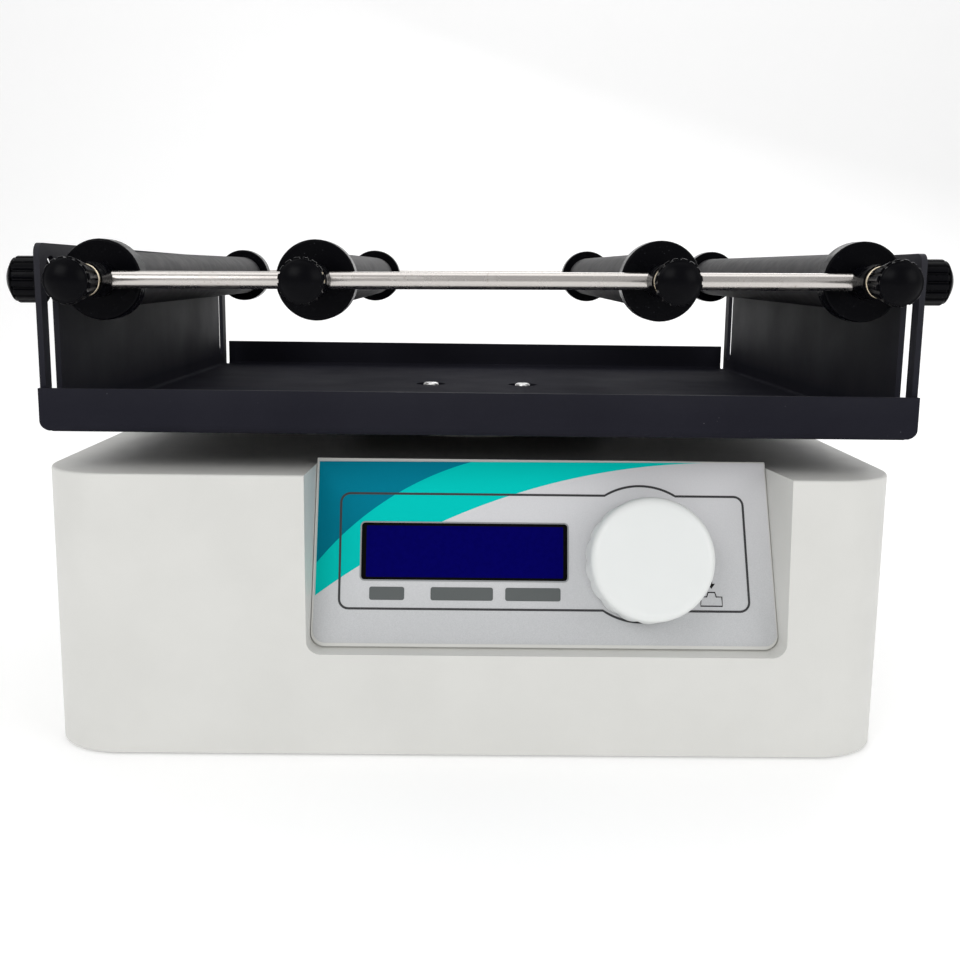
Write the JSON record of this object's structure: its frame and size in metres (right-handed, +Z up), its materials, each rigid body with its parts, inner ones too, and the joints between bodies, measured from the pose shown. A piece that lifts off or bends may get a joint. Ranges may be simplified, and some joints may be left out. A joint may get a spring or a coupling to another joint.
{
  "type": "orbital shaker",
  "caption": "Bench orbital shaker: slotted tray with height-adjustable rods and sliding padded clamp bars on an eccentric drive, over a rounded housing with display and dial.",
  "frame": {"origin": "on the drive axis, at the level that the feet stand on", "axes": "+Z up along the drive axis, +X to the right of someone facing the control panel, +Y to the rear"},
  "size_m": [0.3252, 0.3454, 0.1841],
  "materials": {
    "housing_white": "fine moulded texture",
    "plate_zinc": "zinc-plated sheet",
    "foot_rubber": "matt",
    "screw_steel": "bright",
    "panel_silver": "printed overlay, satin",
    "display_blue": "dark blue window with a black frame",
    "board_green": "solder mask",
    "part_dark": "electrical housing",
    "lead_black": "sheathed wire",
    "dial_white": "satin",
    "machined_alu": "turned",
    "shaft_steel": "ground",
    "bearing_steel": "polished",
    "weight_iron": "painted",
    "belt_rubber": "matt",
    "motor_steel": "satin",
    "cup_black": "satin",
    "tray_black": "fine powder coat",
    "rod_stainless": "drawn",
    "bar_black": "polished",
    "sleeve_grey": "matt",
    "knob_black": "satin"
  },
  "bodies": {
    "base": {"base_plate": "plate_zinc", "rubber_feet": "foot_rubber", "housing_shell": "housing_white", "housing_screws": "screw_steel", "front_panel": "panel_silver", "display_window": "display_blue", "display_module": "board_green", "panel_board": "board_green", "encoder_body": "part_dark", "control_board": "board_green", "power_supply": "board_green", "power_inlet": "part_dark", "switch_body": "part_dark", "wiring": "lead_black", "bearing_housing": "machined_alu", "base_bearings": "bearing_steel", "drive_belt": "belt_rubber", "drive_motor": "motor_steel", "motor_bracket": "plate_zinc", "idler_posts": "machined_alu", "drive_screws": "screw_steel"},
    "drive_crank": {"eccentric_shaft": "shaft_steel", "driven_pulley": "machined_alu", "counterweight": "weight_iron"},
    "motor_rotor": {"motor_shaft": "shaft_steel", "motor_pulley": "machined_alu"},
    "idler_1": {"idler_crank_1": "shaft_steel"},
    "idler_2": {"idler_crank_2": "shaft_steel"},
    "idler_3": {"idler_crank_3": "shaft_steel"},
    "platform": {"carrier_plate": "machined_alu", "carrier_bearings": "bearing_steel", "platform_hub": "machined_alu", "splash_cup": "cup_black", "tray": "tray_black", "tray_screws": "screw_steel"},
    "clamp_frame": {"cross_rods": "rod_stainless"},
    "dial_plunger": {"push_plunger": "part_dark"},
    "dial_knob": {"encoder_shaft": "shaft_steel", "dial": "dial_white"},
    "rocker": {"power_rocker": "part_dark"},
    "frame_knob_front_left": {"frame_knob_front_left": "knob_black"},
    "frame_knob_front_right": {"frame_knob_front_right": "knob_black"},
    "frame_knob_rear_left": {"frame_knob_rear_left": "knob_black"},
    "frame_knob_rear_right": {"frame_knob_rear_right": "knob_black"},
    "bar_1": {"clamp_bar_1": "bar_black", "bar_sleeve_1": "sleeve_grey"},
    "bar_knob_1_front": {"bar_knob_1_front": "knob_black"},
    "bar_knob_1_rear": {"bar_knob_1_rear": "knob_black"},
    "bar_2": {"clamp_bar_2": "bar_black", "bar_sleeve_2": "sleeve_grey"},
    "bar_knob_2_front": {"bar_knob_2_front": "knob_black"},
    "bar_knob_2_rear": {"bar_knob_2_rear": "knob_black"},
    "bar_3": {"clamp_bar_3": "bar_black", "bar_sleeve_3": "sleeve_grey"},
    "bar_knob_3_front": {"bar_knob_3_front": "knob_black"},
    "bar_knob_3_rear": {"bar_knob_3_rear": "knob_black"},
    "bar_4": {"clamp_bar_4": "bar_black", "bar_sleeve_4": "sleeve_grey"},
    "bar_knob_4_front": {"bar_knob_4_front": "knob_black"},
    "bar_knob_4_rear": {"bar_knob_4_rear": "knob_black"}
  },
  "joints": [
    {"name": "drive_spin", "type": "hinge", "parent": "base", "child": "drive_crank", "pos_m": [0, 0, 0.073], "axis": [0, 0, 1], "continuous": true},
    {"name": "motor_spin", "type": "hinge", "parent": "base", "child": "motor_rotor", "pos_m": [0.07967, 0.046, 0.05], "axis": [0, 0, 1], "continuous": true},
    {"name": "idler_1_spin", "type": "hinge", "parent": "base", "child": "idler_1", "pos_m": [0, 0.085, 0.06], "axis": [0, 0, 1], "continuous": true},
    {"name": "idler_2_spin", "type": "hinge", "parent": "base", "child": "idler_2", "pos_m": [-0.07361, -0.0425, 0.06], "axis": [0, 0, 1], "continuous": true},
    {"name": "idler_3_spin", "type": "hinge", "parent": "base", "child": "idler_3", "pos_m": [0.07361, -0.0425, 0.06], "axis": [0, 0, 1], "continuous": true},
    {"name": "platform_orbit", "type": "hinge", "parent": "drive_crank", "child": "platform", "pos_m": [0.003, 0.004, 0.083], "axis": [0, 0, 1], "continuous": true},
    {"name": "frame_height", "type": "slide", "parent": "platform", "child": "clamp_frame", "axis": [0, 0, 1], "range_m": [-0.029, 0.0003]},
    {"name": "frame_knob_front_left_turn", "type": "hinge", "parent": "clamp_frame", "child": "frame_knob_front_left", "pos_m": [-0.15199, -0.13319, 0.16567], "axis": [-1, 0.0001, -0.0084], "range_deg": [0, 360]},
    {"name": "frame_knob_front_right_turn", "type": "hinge", "parent": "clamp_frame", "child": "frame_knob_front_right", "pos_m": [0.15799, -0.13321, 0.16827], "axis": [1, -0.0001, 0.0084], "range_deg": [0, 360]},
    {"name": "frame_knob_rear_left_turn", "type": "hinge", "parent": "clamp_frame", "child": "frame_knob_rear_left", "pos_m": [-0.15199, 0.14121, 0.16773], "axis": [-1, 0.0001, -0.0084], "range_deg": [0, 360]},
    {"name": "frame_knob_rear_right_turn", "type": "hinge", "parent": "clamp_frame", "child": "frame_knob_rear_right", "pos_m": [0.15799, 0.14119, 0.17033], "axis": [1, -0.0001, 0.0084], "range_deg": [0, 360]},
    {"name": "bar_1_slide", "type": "slide", "parent": "clamp_frame", "child": "bar_1", "axis": [1, -0.0001, 0.0084], "range_m": [-0.0012, 0.0322]},
    {"name": "bar_knob_1_front_turn", "type": "hinge", "parent": "bar_1", "child": "bar_knob_1_front", "pos_m": [-0.1292, -0.15599, 0.16569], "axis": [0, -1, -0.0075], "range_deg": [0, 360]},
    {"name": "bar_knob_1_rear_turn", "type": "hinge", "parent": "bar_1", "child": "bar_knob_1_rear", "pos_m": [-0.1292, 0.164, 0.16809], "axis": [0, 1, 0.0075], "range_deg": [0, 360]},
    {"name": "bar_2_slide", "type": "slide", "parent": "clamp_frame", "child": "bar_2", "axis": [1, -0.0001, 0.0084], "range_m": [-0.0133, 0.0417]},
    {"name": "bar_knob_2_front_turn", "type": "hinge", "parent": "bar_2", "child": "bar_knob_2_front", "pos_m": [-0.0547, -0.15599, 0.16632], "axis": [0, -1, -0.0075], "range_deg": [0, 360]},
    {"name": "bar_knob_2_rear_turn", "type": "hinge", "parent": "bar_2", "child": "bar_knob_2_rear", "pos_m": [-0.0547, 0.164, 0.16872], "axis": [0, 1, 0.0075], "range_deg": [0, 360]},
    {"name": "bar_3_slide", "type": "slide", "parent": "clamp_frame", "child": "bar_3", "axis": [1, -0.0001, 0.0084], "range_m": [-0.0466, 0.0084]},
    {"name": "bar_knob_3_front_turn", "type": "hinge", "parent": "bar_3", "child": "bar_knob_3_front", "pos_m": [0.0656, -0.156, 0.16732], "axis": [0, -1, -0.0075], "range_deg": [0, 360]},
    {"name": "bar_knob_3_rear_turn", "type": "hinge", "parent": "bar_3", "child": "bar_knob_3_rear", "pos_m": [0.0656, 0.16399, 0.16972], "axis": [0, 1, 0.0075], "range_deg": [0, 360]},
    {"name": "bar_4_slide", "type": "slide", "parent": "clamp_frame", "child": "bar_4", "axis": [1, -0.0001, 0.0084], "range_m": [-0.0334, 0]},
    {"name": "bar_knob_4_front_turn", "type": "hinge", "parent": "bar_4", "child": "bar_knob_4_front", "pos_m": [0.13639, -0.156, 0.16792], "axis": [0, -1, -0.0075], "range_deg": [0, 360]},
    {"name": "bar_knob_4_rear_turn", "type": "hinge", "parent": "bar_4", "child": "bar_knob_4_rear", "pos_m": [0.13639, 0.16399, 0.17032], "axis": [0, 1, 0.0075], "range_deg": [0, 360]},
    {"name": "dial_press", "type": "slide", "parent": "base", "child": "dial_plunger", "axis": [0, 0.9562, -0.2927], "range_m": [0, 0.0005], "stiffness_N_per_m": 2000, "springref_m": -0.0015},
    {"name": "dial_turn", "type": "hinge", "parent": "dial_plunger", "child": "dial_knob", "pos_m": [0.0635, -0.13421, 0.0683], "axis": [0, -0.9562, 0.2927], "continuous": true},
    {"name": "rocker_tip", "type": "hinge", "parent": "base", "child": "rocker", "pos_m": [-0.05, 0.146, 0.042], "axis": [1, 0, 0], "range_deg": [0, 16]}
  ],
  "couplings": [
    {"joint": "motor_spin", "follows": "drive_spin", "ratio": 3},
    {"joint": "platform_orbit", "follows": "drive_spin", "ratio": -1},
    {"joint": "idler_1_spin", "follows": "drive_spin", "ratio": 1},
    {"joint": "idler_2_spin", "follows": "drive_spin", "ratio": 1},
    {"joint": "idler_3_spin", "follows": "drive_spin", "ratio": 1}
  ]
}
